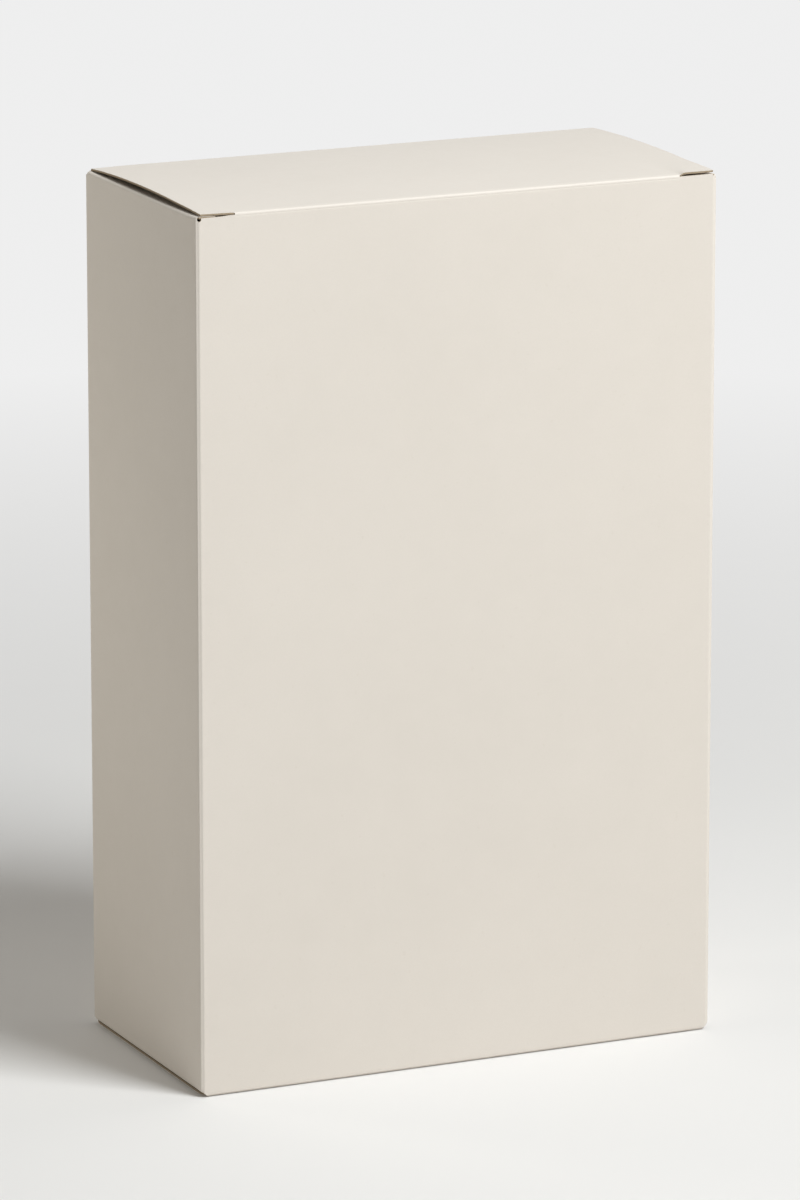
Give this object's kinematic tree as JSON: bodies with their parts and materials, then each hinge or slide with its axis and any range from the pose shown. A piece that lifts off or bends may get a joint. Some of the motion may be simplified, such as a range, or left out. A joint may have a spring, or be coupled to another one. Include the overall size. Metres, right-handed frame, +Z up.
{
  "type": "cereal box",
  "caption": "Shut folding carton for cereal: cream coated board, crowned top closure over dust flaps, slit creases, tucked back edges, flat base.",
  "frame": {"origin": "on the floor, under the middle of the pack", "axes": "the front panel faces -Y, +X runs across the front to the viewer's right, +Z is up"},
  "size_m": [0.19, 0.095, 0.3015],
  "materials": {
    "coated_board": null
  },
  "bodies": {
    "root": {"carton": "coated_board"}
  },
  "joints": []
}
